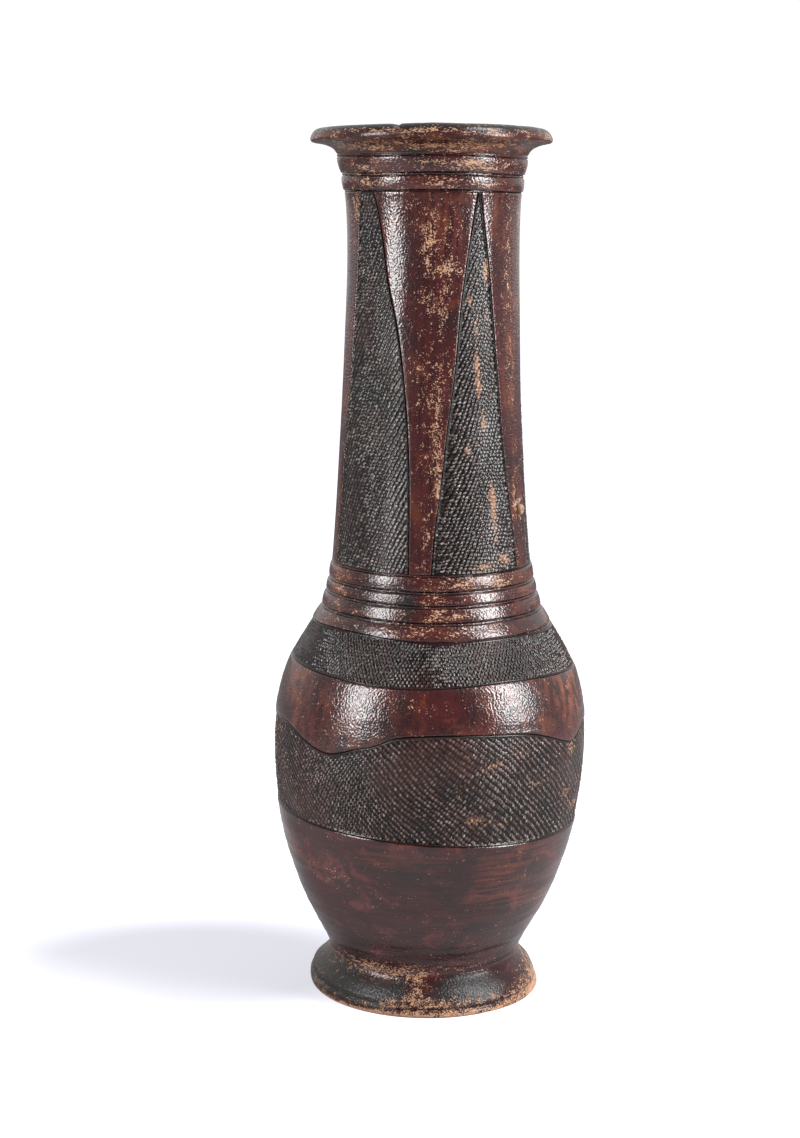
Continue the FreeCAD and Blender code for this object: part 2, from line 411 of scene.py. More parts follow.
def scattered(count, low, high, wide, tall, strengths):
    """Patches at random places on the sides and back, which the picture doesn't show."""
    ranges = (75, 285), (low, high), wide, tall, strengths
    return [tuple(rng.uniform(*limits) for limits in ranges) for _ in range(count)]


WORN = [
    (-1, 600, 12, 40, 0.34), (0, 520, 14, 60, 0.36), (-2, 622, 6, 12, 0.35), (-5, 605, 4, 8, 0.55),
    (9, 592, 9, 6, 0.65), (-5, 562, 4, 14, 0.40), (6, 560, 4, 14, 0.50), (-3, 470, 8, 40, 0.30),
    (3.5, 458, 2.2, 40, 1.00), (3, 420, 2.5, 24, 0.60), (-4, 388, 2.5, 16, 0.75), (-6, 362, 8, 6, 0.40),
    (5, 352, 10, 4, 0.65), (2, 338, 10, 9, 0.58), (6, 324, 12, 8, 0.68), (-8, 312, 18, 4, 0.55),
    (21, 348, 10, 8, 0.70), (38, 350, 8, 7, 0.55), (57, 600, 5, 36, 0.62), (60, 545, 5, 40, 0.38),
    (62, 480, 5, 40, 0.30), (60, 410, 5, 14, 0.60), (-22, 640, 6, 6, 0.55), (-55, 470, 5, 60, 0.25),
    (-40, 667, 18, 4, 0.70), (32, 668, 16, 3, 0.80), (6, 655, 12, 4, 0.85), (36, 654, 12, 3.5, 0.70),
    (-48, 655, 12, 4, 0.45), (0, 672, 40, 2.5, 0.45), (-34, 683, 32, 5, 0.80), (8, 682, 9, 4, 0.80),
    (40, 684, 20, 4, 0.55), (-30, 692.5, 30, 3, 0.62), (20, 693, 60, 3, 0.50), (40, 347, 9, 6, 0.70),
    (80, 692, 30, 6, 0.50), (-10, 681, 60, 4, 0.50), (-5, 36, 8, 9, 0.90), (-4, 20, 6, 8, 1.00),
    (-30, 36, 26, 6, 0.85), (25, 37, 24, 5, 0.75), (-14, 34, 14, 6, 0.70), (-30, 32, 32, 8, 0.45),
    (10, 110, 30, 30, 0.12), (0, 262, 60, 4, 0.25), (-62, 636, 7, 10, 0.75), (-60, 612, 5, 16, 0.40),
    (-45, 641, 4, 5, 0.9), (0, 661.8, 200, 2.5, 0.35), (-36, 656, 30, 8, 0.35), (20, 669, 40, 5, 0.45),
    (-60, 330, 8, 60, 0.3), (0, 8, 22, 6, 1.00), (52, 7, 30, 9, 1.10), (-12, 10, 12, 5, 0.90),
    (-60, 7, 40, 3, 0.60), (84, 16, 22, 14, 0.80),
] + scattered(40, 60, 690, (4, 12), (8, 40), (0.30, 0.85))

SMOKED = [
    (-62, 18, 30, 13, 1.3), (-30, 14, 18, 7, 1.1), (24, 21, 17, 9, 1.9), (-14, 24, 6, 8, 0.6),
    (0, 210, 40, 30, 0.3), (-20, 330, 20, 30, 0.4), (-9, 126, 13, 22, 0.85), (22, 96, 8, 26, 0.45),
    (-48, 84, 14, 20, 0.5), (0, 698, 220, 4, 1.30), (0, 16, 220, 13, 0.75), (-45, 320, 18, 18, 0.4),
    (-13, 334, 6, 12, 1.0), (-40, 655, 14, 20, 0.35), (0, 694, 220, 3, 0.50),
] + scattered(10, 20, 640, (18, 40), (20, 60), (0.4, 0.9))

WARM = [
    (70, 258, 22, 20, 1.1), (-75, 262, 20, 16, 0.5), (70, 335, 10, 14, 0.9), (-60, 350, 10, 20, 0.7),
    (-66, 228, 16, 14, 0.35), (38, 252, 14, 20, 0.5), (80, 130, 20, 30, 0.4), (60, 560, 8, 80, 0.4),
    (40, 640, 10, 30, 0.5), (58, 420, 6, 60, 0.25), (30, 115, 14, 26, 0.5), (-18, 138, 12, 10, 0.5),
    (52, 90, 12, 20, 0.5), (4, 684, 12, 5, 0.9), (5, 326, 10, 8, 0.5), (-20, 682, 70, 4, 0.6),
    (0, 683, 200, 5, 0.8), (33, 345, 5, 5, 1.0), (35, 332, 4, 4, 0.9),
] + scattered(16, 60, 690, (8, 24), (14, 60), (0.4, 1.0))


def marks(azimuth, level, **more):
    """The masks of a surface: worn through, smoked dark and warmer slip, and any others given."""
    patchy = blotch(azimuth, level)
    out = {
        "wear": np.clip(0.16 + 0.16 * patchy + 0.72 * spots(azimuth, level, WORN), 0, 0.78),
        "smoke": np.clip(spots(azimuth, level, SMOKED) - 0.25 + 0.2 * patchy, 0, 1),
        "warm": np.clip(0.04 + 0.25 * patchy + spots(azimuth, level, WARM), 0, 1),
    }
    out.update(more)
    return {key: np.broadcast_to(value, azimuth.shape).astype(np.float32) for key, value in out.items()}


# Materials
class Nodes:
    """Short names for the shader nodes that the materials are made of."""

    def __init__(self, tree):
        self.tree = tree
        tree.nodes.clear()
        self.coordinates = self.node("ShaderNodeTexCoord").outputs

    def node(self, kind, inputs=(), **settings):
        """A new node with its settings, and with its inputs linked or set to values."""
        node = self.tree.nodes.new(kind)
        for key, value in settings.items():
            setattr(node, key, value)
        for key, value in dict(inputs).items():
            if isinstance(value, bpy.types.NodeSocket):
                self.tree.links.new(value, node.inputs[key])
            else:
                node.inputs[key].default_value = value
        return node

    def noise(self, scale, detail, rough, warp=0.0, stretch=(1, 1)):
        """Noise between 0 and 1, with its scale multiplied by the stretch across and up."""
        across, up = stretch
        at = {"Vector": self.coordinates["Object"], "Scale": (across, across, up)}
        mapped = self.node("ShaderNodeMapping", at).outputs[0]
        inputs = {"Vector": mapped, "Scale": scale, "Detail": detail, "Roughness": rough, "Distortion": warp}
        return self.node("ShaderNodeTexNoise", inputs).outputs["Fac"]

    def mask(self, key):
        return self.node("ShaderNodeAttribute", attribute_name=key).outputs["Fac"]

    def ramp(self, value, low, high, out_low=0.0, out_high=1.0):
        """A smooth step between two values of the input."""
        inputs = {"Value": value, "From Min": low, "From Max": high, "To Min": out_low, "To Max": out_high}
        return self.node("ShaderNodeMapRange", inputs, interpolation_type="SMOOTHSTEP").outputs[0]

    def plus(self, first, second):
        return self.node("ShaderNodeMath", {0: first, 1: second}, operation="ADD").outputs[0]

    def minus(self, first, second):
        return self.node("ShaderNodeMath", {0: first, 1: second}, operation="SUBTRACT").outputs[0]

    def times(self, first, second):
        return self.node("ShaderNodeMath", {0: first, 1: second}, operation="MULTIPLY").outputs[0]

    def larger(self, first, second):
        return self.node("ShaderNodeMath", {0: first, 1: second}, operation="MAXIMUM").outputs[0]

    def blend(self, factor, first, second):
        """From the first colour to the second as the factor goes from 0 to 1."""
        inputs = {"Factor": factor, 6: first, 7: second}
        return self.node("ShaderNodeMix", inputs, data_type="RGBA").outputs[2]

    def bump(self, height, strength, distance):
        inputs = {"Strength": strength, "Distance": distance, "Height": height}
        return self.node("ShaderNodeBump", inputs).outputs[0]


def rgb(red, green, blue):
    return (red, green, blue, 1.0)


MAROON = rgb(0.041, 0.0098, 0.0102)
RED = rgb(0.088, 0.021, 0.020)
DEEP = rgb(0.016, 0.0068, 0.0072)
ORANGE = rgb(0.150, 0.045, 0.020)
TAN = rgb(0.400, 0.200, 0.105)
PALE = rgb(0.500, 0.330, 0.215)
CHARCOAL = rgb(0.010, 0.0095, 0.0095)
# Painted shade, nearly black, for the pits and the pressed lines
PIT_SHADE = rgb(0.0022, 0.0019, 0.0018)
BROWN = rgb(0.056, 0.025, 0.021)
# The tips' colour: dust, and a painted glint on the polished beads
DUST_AND_GLINT = rgb(0.225, 0.184, 0.170)
INNER = rgb(0.050, 0.026, 0.019)
WHITE = rgb(1, 1, 1)
INNER_ROUGH = 0.62


def make_look(name, slot, build):
    """A material from a function that gives its shader's inputs, and the slot that it belongs to."""
    material = bpy.data.materials.new(name)
    material.use_nodes = True
    n = Nodes(material.node_tree)
    shader = n.node("ShaderNodeBsdfPrincipled", build(n))
    n.node("ShaderNodeOutputMaterial", {0: shader.outputs[0]})
    return material, slot


def surface(n, colour, rough, shine, normal):
    """The shader's inputs, with plain sooty clay on the inner side."""
    soot = n.noise(60.0, 4.0, 0.6, 0.4)
    plain = n.blend(n.ramp(soot, 0.38, 0.66), INNER, CHARCOAL)
    inner = n.mask("inside")
    return {
        "Base Color": n.blend(inner, colour, plain),
        "Roughness": n.larger(rough, n.times(inner, INNER_ROUGH)),
        "Specular IOR Level": shine,
        "Normal": normal,
    }


def worn_clay(n, pale, orange):
    """The colour of clay where the slip is gone."""
    fine = n.noise(1300.0, 2.0, 0.6)
    return n.blend(orange, n.blend(n.ramp(fine, 0.4, 0.62, 0.0, pale), TAN, PALE), ORANGE)


def slip(name, patch_scale, streak_scale, grain_scale, mottle=0.2, mottle_colour=ORANGE, shine=0.55,
         smoke_dull=0.05, smoke_grain=0.0, satin=0.0, crackle=1.0):
    """Burnished red slip: streaks of its wiping, flecks worn through to the clay, smoke, and painted shade in
    its pressed lines.

    The scales are across and up. satin makes the gloss broader, and crackle breaks it up.
    """

    def build(n):
        streak = n.noise(1.0, 4.0, 0.6, 0.3, streak_scale)
        broad = n.noise(26.0, 3.0, 0.55, 0.4)
        patch = n.noise(1.0, 3.0, 0.6, 0.3, patch_scale)
        grain = n.noise(1.0, 2.0, 0.65, 0.0, grain_scale)
        peel = n.noise(680.0, 0.0, 0.5)
        smoke = n.mask("smoke")
        colour = n.blend(n.ramp(streak, 0.34, 0.60, 0.35, 1.0), DEEP, MAROON)
        mottled = n.times(n.ramp(n.noise(34.0, 4.0, 0.65, 0.5, (1, 1.3)), 0.53, 0.64), mottle)
        colour = n.blend(mottled, colour, mottle_colour)
        colour = n.blend(n.times(n.mask("warm"), n.ramp(streak, 0.42, 0.66)), colour, ORANGE)
        colour = n.blend(n.ramp(broad, 0.46, 0.66, 0.0, 0.75), colour, DEEP)
        colour = n.blend(n.times(smoke, 0.93), colour, CHARCOAL)
        fleck = n.plus(n.times(grain, 0.62), n.times(patch, 0.38))
        edge = n.minus(0.645, n.times(n.mask("wear"), 0.170))
        worn = n.ramp(n.minus(fleck, edge), 0.0, 0.022)
        clay = worn_clay(n, 1.0, 0.18)
        colour = n.blend(n.times(worn, 0.85), colour, clay)
        bare = n.ramp(n.plus(n.mask("bare"), n.times(n.minus(fleck, 0.5), 3.2)), 0.42, 0.6)
        colour = n.blend(bare, colour, clay)
        # Painted shade: the slip is painted nearly black where the relief mask falls below zero, in its
        # pressed lines.
        dark = n.ramp(n.mask("relief"), -1.0, 0.0, 1.0, 0.0)
        colour = n.blend(n.times(dark, 0.92), colour, PIT_SHADE)
        dull = n.larger(worn, bare)
        rough = n.ramp(broad, 0.3, 0.7, 0.15 + satin, 0.21 + satin)
        rough = n.plus(n.plus(rough, n.times(smoke, smoke_dull)), n.times(dull, 0.35))
        rougher = n.plus(crackle, n.times(smoke, smoke_grain))
        height = n.plus(n.times(peel, rougher), n.times(streak, 0.5))
        height = n.minus(height, n.times(dull, 0.15))
        return surface(n, colour, rough, shine, n.bump(height, 1.0, 0.00020))

    return make_look(name, "burnished_slip", build)


def impressed_nodes(n):
    """Impressed clay: pits painted black as shade, brown to charcoal sides, polished tips lightened by dust
    and a painted glint.
    """
    broad = n.noise(30.0, 3.0, 0.55, 0.4)
    patch = n.noise(160.0, 3.0, 0.65, 0.4)
    grain = n.noise(520.0, 2.0, 0.65)
    relief = n.mask("relief")
    sides = n.blend(n.times(n.ramp(broad, 0.36, 0.58, 0.3, 1.0), n.mask("warm")), CHARCOAL, BROWN)
    sides = n.blend(n.times(n.mask("smoke"), 0.8), sides, CHARCOAL)
    # Painted shade: the low relief in the pits fades to near black.
    colour = n.blend(n.ramp(relief, 0.16, 0.58), PIT_SHADE, sides)
    # The tips are lighter, partly from dust and partly as a painted glint.
    tips = n.blend(n.mask("wear"), DUST_AND_GLINT, PALE)
    tip = n.times(n.ramp(relief, 0.46, 0.84), n.ramp(grain, 0.42, 0.58, 0.12, 1.0))
    colour = n.blend(n.times(tip, n.ramp(patch, 0.4, 0.6, 0.35, 0.95)), colour, tips)
    patchy = n.plus(n.times(n.minus(patch, 0.5), 0.7), n.times(n.minus(grain, 0.5), 1.6))
    worn = n.ramp(n.plus(n.mask("bare"), patchy), 0.44, 0.72, 0.0, 0.85)
    clay = n.blend(n.ramp(relief, 0.0, 0.55, 0.35, 1.0), BROWN, worn_clay(n, 0.6, 0.25))
    colour = n.blend(worn, colour, clay)
    rough = n.plus(n.ramp(relief, 0.3, 0.9, 0.22, 0.14), n.times(worn, 0.3))
    return surface(n, colour, rough, 0.33, n.bump(grain, 0.5, 0.0004))


def clay_nodes(n):
    """Bare fired clay, sandy, with darker brown patches."""
    broad = n.noise(38.0, 4.0, 0.6, 0.5)
    grain = n.noise(700.0, 3.0, 0.65)
    clay = n.blend(n.ramp(grain, 0.35, 0.65), TAN, PALE)
    return {
        "Base Color": n.blend(n.ramp(broad, 0.42, 0.75, 0.0, 0.8), clay, BROWN),
        "Roughness": n.ramp(grain, 0.3, 0.7, 0.6, 0.8),
        "Normal": n.bump(grain, 0.4, 0.0005),
    }


slip_round = slip("burnished_slip_round", (110, 280), (45, 420), (560, 1150), satin=0.03, crackle=1.35)
slip_lower = slip(
    "burnished_slip_lower", (130, 260), (28, 430), (560, 980), mottle=0.9, mottle_colour=RED,
    smoke_dull=0.26, smoke_grain=0.3,
)
slip_upright = slip("burnished_slip_upright", (240, 150), (260, 26), (900, 820), satin=0.015, crackle=1.2)
slip_foot = slip(
    "burnished_slip_foot", (200, 300), (45, 420), (950, 1150), shine=0.31, smoke_dull=0.20, smoke_grain=1.2
)
slip_rim = slip("burnished_slip_rim", (90, 420), (45, 420), (420, 1500), mottle=0.3, shine=0.32, satin=0.04)
slip_shoulder = slip(
    "burnished_slip_shoulder", (180, 180), (120, 40), (800, 800), mottle=0.35, satin=0.035, crackle=1.45
)
impressed = make_look("impressed_clay", "impressed_clay", impressed_nodes)
bare_clay = make_look("bare_clay", "bare_clay", clay_nodes)


# Lines that divide the surface
LOWER_DIP = 0.6
LOWER_TILT = 6.6
LOWER_WAVER = (0, 0.5, -0.4, 0, 0, 0.2, 0, -0.3, 0.2, 0, 0.6, -0.5)
lower_line = round_curve([
    (turn, LOWER_LINE - LOWER_DIP - LOWER_TILT * math.sin(math.radians(turn)) + waver)
    for turn, waver in zip(range(-180, 180, 30), LOWER_WAVER)
])
collar_line = round_curve([
    (-180, 275), (-130, 276.5), (-84, 278), (-36, 274.6), (-15, 273), (10, 274.4), (28, 276), (59, 274.3),
    (90, 272), (135, 274),
])
ridge_line = round_curve([
    (-180, 306), (-130, 307), (-83, 308), (-39, 309.5), (0, 306), (38, 307.2), (84, 305), (135, 305.5),
])
scallop_line = round_curve([
    (-174, 233), (-150, 226), (-126, 219), (-102, 229), (-81, 232.4), (-63, 231.6), (-56, 227), (-49, 222),
    (-39, 218), (-28, 224.6), (-22, 228), (-12, 236.5), (-5, 238.5), (9, 239.4), (25, 238), (37, 235.7),
    (46, 230.7), (56, 223.2), (61, 220.8), (70, 226.5), (79, 231.3), (88, 232), (108, 231), (126, 224),
    (147, 217.5), (166, 227),
])
BELLY_TOP = 230
SHOULDER_FOOT = 232


def flat_line(level):
    """A line that stays at one level."""
    return lambda azimuth: np.full(np.shape(azimuth), float(level))


def ring_azimuths(count):
    return np.arange(count) * 360.0 / count - 180


def ring_normals(points):
    """Outward normals of a closed grid of points."""
    around = np.roll(points, -1, axis=1) - np.roll(points, 1, axis=1)
    normal = np.cross(around, np.gradient(points, axis=0))
    return normal / np.linalg.norm(normal, axis=-1, keepdims=True)


# One column of the inner side to this many outside
INNER_EVERY = 4


def wall_ring(node, low, high, rows, columns, relief, look, inner_rows, parts=1, also=()):
    """A ring of wall between two lines, which may rise and fall; in one piece or in equal sectors.

    It replaces a node, and also any others that it reaches over.
    """
    columns = int(columns / COARSE)
    azimuths = ring_azimuths(columns)
    share_up = even_count(rows, inner_rows)[:, None]
    azimuth = np.broadcast_to(azimuths, (len(share_up), columns))
    level = low(azimuth) + (high(azimuth) - low(azimuth)) * share_up
    offset, masks = relief(azimuth, level, low(azimuth), high(azimuth))
    slope = outside(level + 0.5) - outside(level - 0.5)
    radius = outside(level) + hand(azimuth, level) + offset / np.sqrt(1 + slope**2)
    lifted = level - offset * slope / np.sqrt(1 + slope**2)
    outer = placed(azimuth, lifted, np.minimum(radius, LARGEST))
    bottom, top = SEAMS[node]
    inner_levels = bottom + (top - bottom) * np.linspace(0, 1, inner_rows + 1)[:, None]
    inner = inner_side(*np.broadcast_arrays(azimuths[::INNER_EVERY], inner_levels))
    name, nodes = node + "_dressed", (node,) + also
    if parts == 1:
        shell(name, outer, inner, True, masks, look, nodes)
        return
    normals = ring_normals(outer)
    wide, inner_wide = columns // parts, columns // parts // INNER_EVERY
    for part in range(parts):
        take = np.arange(part * wide, (part + 1) * wide + 1) % columns
        take_inner = np.arange(part * inner_wide, (part + 1) * inner_wide + 1) % inner.shape[1]
        cut = {key: value[:, take] for key, value in masks.items()}
        skin, back = outer[:, take], inner[:, take_inner]
        shell(f"{name}_{part + 1}", skin, back, False, cut, look, nodes, normals[:, take])


def stamped_field(azimuth, level, height, colour, inner, edge, margin_tone, **more):
    """The offsets and masks of a field of impressions with a smooth margin and a pressed edge."""
    # Painted shade: the pressed edge takes the lowest relief, so the material paints it as dark as the pits.
    relief = (colour * inner + (1 - inner) * margin_tone) * (1 - np.clip(-edge, 0, 1))
    return height * inner + edge, marks(azimuth, level, relief=relief, **more)


# Lower wall
wiping = Field(30, 2.6)
wiping_long = Field(12, 6)
LOWER_WORN = [(-37, 114, 12, 14, 0.42), (44, 118, 14, 8, 0.30), (24, 92, 12, 8, 0.25), (-10, 60, 50, 9, 0.16)]


def lower_relief(azimuth, level, low, high):
    """The bowl, wiped round, which flares into the foot under it and ends in the lowest line."""
    offset = 0.22 * wiping(azimuth, level) + 0.24 * wiping_long(azimuth, level)
    flare = 1.7 * np.exp(-(level - low) / 3.6)
    offset = offset * ease((level - low) / 4) + groove(level - high, 0.8, 0.8) + flare
    masks = marks(azimuth, level, relief=groove(level - high, 0.9, 0.8))
    near_foot = 0.08 + 0.92 * ease((46 - level) / 12)
    wear = masks["wear"] * near_foot + spots(azimuth, level, LOWER_WORN)
    masks["wear"] = wear - 0.12 * ease((level - 44) / 12)
    return offset, masks


wall_ring(
    "lower_wall", flat_line(FOOT_TOP), lower_line,
    shares(FOOT_TOP, LOWER_LINE, 1.3, [LOWER_LINE], 2.4), 600,
    lower_relief, slip_lower, 8,
)


# Belly band. Its stamped rows fall to the right, steeper and closer together on the left of the picture.
BELLY_MEAN = 126.5
TURN_STEP = 0.5
row_turns = np.linspace(-180, 180, 721)
row_fall = np.radians(43 - 2 * np.sin(np.radians(row_turns)))
row_step = 3.9 + 0.4 * np.sin(np.radians(row_turns))
row_phase = np.cumsum(math.radians(TURN_STEP) * BELLY_MEAN * np.sin(row_fall) / row_step)
BEAD_LEAN = math.radians(57)
BEAD_STEP = 2.75
BELLY_FAINT = [
    (-8, 205, 13, 26, 0.22), (-6, 172, 10, 14, 0.18), (-70, 190, 12, 24, 0.15), (14, 222, 20, 8, 0.1),
] + scattered(9, 158, 230, (6, 16), (8, 24), (0.1, 0.35))
BELLY_BARE = [
    (22, 214, 7, 7, 0.46), (15, 172, 6, 6, 0.50), (26, 168, 7, 5, 0.48), (34, 222, 6, 6, 0.40),
    (62, 216, 6, 11, 0.55), (60, 178, 7, 9, 0.50), (70, 164, 10, 6, 0.52), (40, 196, 12, 14, 0.34),
    (10, 196, 10, 10, 0.32), (-58, 168, 6, 8, 0.3),
] + scattered(12, 158, 230, (3, 8), (4, 14), (0.25, 0.5))


def belly_relief(azimuth, level, low, high):
    """The widest band, whose beads run together more on the right of the picture."""
    up = level - LOWER_LINE
    arc = np.radians(azimuth) * BELLY_MEAN
    rise = np.interp(azimuth, row_turns, np.cos(row_fall) / row_step)
    across = np.interp(azimuth, row_turns, row_phase) + up * rise
    along = (arc * math.sin(BEAD_LEAN) - up * math.cos(BEAD_LEAN)) / BEAD_STEP
    merged = 0.5 + 0.5 * ease(0.5 + 0.9 * np.sin(np.radians(azimuth - 8)))
    bead = 0.44 + 0.16 * merged, 0.42 - 0.03 * merged
    bare = spots(azimuth, level, BELLY_BARE)
    faint = spots(azimuth, level, BELLY_FAINT) + 0.4 * bare
    height, colour = impressions(azimuth, level, along, across, 1.1, 1.1, faint, 4, *bead)
    inner = ease((np.minimum(level - low, high - level) - 0.9) / 1.6)
    edge = groove(level - low, 0.8, 0.8) + groove(level - high, 0.9, 0.9)
    masks = {"bare": bare, "wear": 0.12, "warm": 0.9}
    return stamped_field(azimuth, level, height - 0.3, colour, inner, edge, 0.35, **masks)


wall_ring(
    "belly_wall", lower_line, scallop_line,
    shares(LOWER_LINE, BELLY_TOP, 0.5, [LOWER_LINE, BELLY_TOP], 2.0), 1600,
    belly_relief, impressed, 6, parts=4,
)


# Shoulder
def shoulder_relief(azimuth, level, low, high):
    """The smooth band over the scallops."""
    offset = 0.10 * wiping(azimuth, level) + 0.14 * wiping_long(azimuth, level) + 0.25
    edge = groove(level - low, 0.8, 0.9) + groove(level - high, 0.7, 0.7)
    masks = marks(azimuth, level, relief=np.minimum(edge, 0))
    masks["wear"] = masks["wear"] * np.float32(0.55)
    return offset * ease(np.minimum(level - low, high - level) / 2.5) + edge, masks


wall_ring(
    "shoulder_wall", scallop_line, collar_line,
    shares(SHOULDER_FOOT, COLLAR_LINE, 1.2, [SHOULDER_FOOT, COLLAR_LINE], 2.2), 840,
    shoulder_relief, slip_shoulder, 4, also=("belly_wall",),
)


# Collar
COLLAR_MEAN = 107.5
COLLAR_STEP = 3.05
COLLAR_RISE = 4.8
COLLAR_FAINT = [
    (-30, 290, 12, 12, 0.12), (-62, 300, 12, 8, 0.12), (5, 290, 9, 16, -0.35),
] + scattered(8, 278, 304, (6, 16), (5, 12), (0.1, 0.35))


def collar_relief(azimuth, level, low, high):
    """The impressed band under the ridge."""
    arc = np.radians(azimuth) * COLLAR_MEAN / COLLAR_STEP
    up = (level - COLLAR_LINE) / COLLAR_RISE
    faint = spots(azimuth, level, COLLAR_FAINT)
    height, colour = impressions(azimuth, level, arc + up, up - arc, 0.7, 1.1, faint, 11, 0.46, 0.44)
    # Painted light: the beads' tone is lighter towards the right of the picture, the side that the stronger
    # lamp lights, and darker towards the left.
    colour = colour * (0.80 + 0.05 * np.sin(np.radians(azimuth)))
    inner = ease((np.minimum(level - low, high - level) - 0.7) / 1.4)
    edge = groove(level - low, 0.8, 0.8) + groove(level - high, 0.8, 0.5)
    return stamped_field(azimuth, level, height + 0.1, colour, inner, edge, 0.35, wear=0.1, warm=0.75)


wall_ring(
    "collar_wall", collar_line, ridge_line,
    shares(COLLAR_LINE, RIDGE_LINE, 0.5, [COLLAR_LINE, RIDGE_LINE], 1.8), 1440,
    collar_relief, impressed, 4, parts=2,
)


# Base of the neck
line_waver = Field(18, 60)


def banded_relief(lines, bulge, depth):
    """Bands that swell between incised double lines."""

    def relief(azimuth, level, low, high):
        waver = 0.75 * line_waver(azimuth, level)
        offset = 0.09 * wiping(azimuth, level) + 0.10 * wiping_long(azimuth, level)
        dark = np.zeros(azimuth.shape)
        for below, above in zip(lines[:-1], lines[1:]):
            middle, half = (below + above) / 2, (above - below) / 2
            t = np.clip((level - waver - middle) / half, -1, 1)
            offset = offset + bulge * (1 - np.abs(t) ** 2.4) * (np.abs(t) < 1)
        for line in lines:
            cut = double_groove(level - waver - line, depth)
            offset = offset + cut
            # Painted shade: the relief mask goes below zero in the cut lines, and the slip is painted darker
            # the deeper they are.
            dark = np.minimum(dark, cut * 1.35 / depth)
        return offset, marks(azimuth, level, relief=dark)

    return relief


wall_ring(
    "neck_base", ridge_line, flat_line(NECK_FOOT),
    shares(RIDGE_LINE, NECK_FOOT, 1.2, BASE_LINES, 2.6, 0.35), 640,
    banded_relief(BASE_LINES, 0.9, 1.15), slip_round, 4,
)


# Neck: sunk panels and the strips between them. Each panel has two edges of (level, azimuth) points.
PANEL_EDGES = [
    (
        [(NECK_FOOT, -71.5), (430, -69), (500, -65), (560, -61.5), (600, -59.5), (634, -57.0),
         (NECK_TOP, -54.0)],
        [(NECK_FOOT, -13.4), (381, -13.6), (426, -14.1), (473, -16.2), (519, -20.4), (555, -26.0),
         (580, -31.2), (605, -34.6), (616, -36.0), (640, -40.2), (NECK_TOP, -42.0)],
    ),
    (
        [(NECK_FOOT, -0.6), (381, 0.7), (428, 5.2), (471, 9.2), (507, 13.3), (535, 15.7), (562, 17.8),
         (589, 20.9), (622, 25.4), (NECK_TOP, 29.2)],
        [(NECK_FOOT, 57.2), (381, 55.7), (428, 51.2), (464, 47.8), (502, 45.6), (527, 43.6), (564, 40.8),
         (607, 36.2), (632, 33.0), (NECK_TOP, 31.2)],
    ),
]
HIDDEN_CENTRES = (102, 174, 246)
HIDDEN_HALVES = ((NECK_FOOT, 28.2), (430, 24.2), (500, 19.2), (560, 13.6), (610, 7.6), (NECK_TOP, 0.9))
for centre in HIDDEN_CENTRES:
    bow = float(rng.uniform(-1.5, 1.5))
    low, high = [], []
    for level, half in HIDDEN_HALVES:
        jitter = rng.uniform(-0.5, 0.5, 2)
        wider = 2.6 * (half > 1) if centre == HIDDEN_CENTRES[0] else 0
        low.append((level, centre - half - wider + bow + jitter[0]))
        high.append((level, centre + half + bow + jitter[1]))
    PANEL_EDGES.append((low, high))
PANEL_EDGES = [(level_curve(low), level_curve(high)) for low, high in PANEL_EDGES]
NECK_LEVELS = even_count(steps_between(NECK_FOOT, NECK_TOP, 0.5, (NECK_FOOT, NECK_TOP), 2.0, 0.4), 8)

NECK_BARE = [
    (28.7, 521, 3.2, 12, 0.64), (29.5, 502, 3.4, 14, 0.66), (33.2, 472, 3.2, 13, 0.64),
    (22, 452, 4.0, 8, 0.50), (38.4, 413, 4.0, 14, 0.82), (39.6, 388, 2.6, 14, 0.56),
    (44, 369, 5, 6, 0.50), (30, 361, 12, 5, 0.62), (46, 458, 2, 12, 0.40), (36, 590, 3.4, 10, 0.75),
    (24, 567, 3.6, 8, 0.62), (28, 545, 3.4, 12, 0.45), (50, 364, 6, 7, 0.44), (37, 560, 3, 20, 0.38),
    (-27, 400, 2.5, 26, 0.20), (43, 490, 2, 18, 0.36),
] + scattered(16, 365, 620, (2, 5), (6, 20), (0.3, 0.6))
NECK_FAINT = [
    (-26.5, 405, 3.5, 38, 0.75), (-30, 372, 5, 12, 0.55), (-37, 470, 5, 30, 0.35), (-24, 470, 3, 16, 0.4),
    (-45, 560, 5, 30, 0.35), (30, 440, 5, 26, 0.25), (36, 500, 3, 30, 0.35),
] + scattered(14, 365, 620, (3, 7), (12, 40), (0.25, 0.6))
stroke = Field(46, 46)
stroke_fine = Field(110, 60)


def across_shares(count, edge_share):
    """Shares from 0 to 1, closer together near both ends."""
    t = np.linspace(0, 1, count + 1)
    return t - edge_share * np.sin(2 * np.pi * t) / (2 * np.pi)


def neck_piece(name, low, high, levels, columns, relief, look, crowding):
    """A piece of the neck's wall between two rising edges."""
    level = levels[:, None]
    left, right = low(level), high(level)
    azimuth = left + (right - left) * across_shares(columns, crowding)[None, :]
    level = np.broadcast_to(level, azimuth.shape)
    arc = np.radians(1) * outside(level)
    margin = np.minimum(azimuth - left, right - azimuth) * arc
    ends = np.minimum(level - NECK_FOOT, NECK_TOP - level)
    offset, masks = relief(azimuth, level, margin, ends, arc)
    outer = placed(azimuth, level, outside(level) + hand(azimuth, level) + offset)
    coarse = slice(None, None, INNER_EVERY)
    inner = inner_side(azimuth[coarse, coarse], level[coarse, coarse] + SEAM_RISE)
    shell(name, outer, inner, False, masks, look, ["neck_tube"])


PANEL_ROW = 3.55
PANEL_BEAD = 3.05
PANEL_TURN = math.radians(64)
PANEL_MIDDLE = 500


def panel_edge(margin, ends):
    """The line pressed round a panel or a strip."""
    return groove(margin, 0.75, 1.0) + groove(ends, 0.9, 0.8)


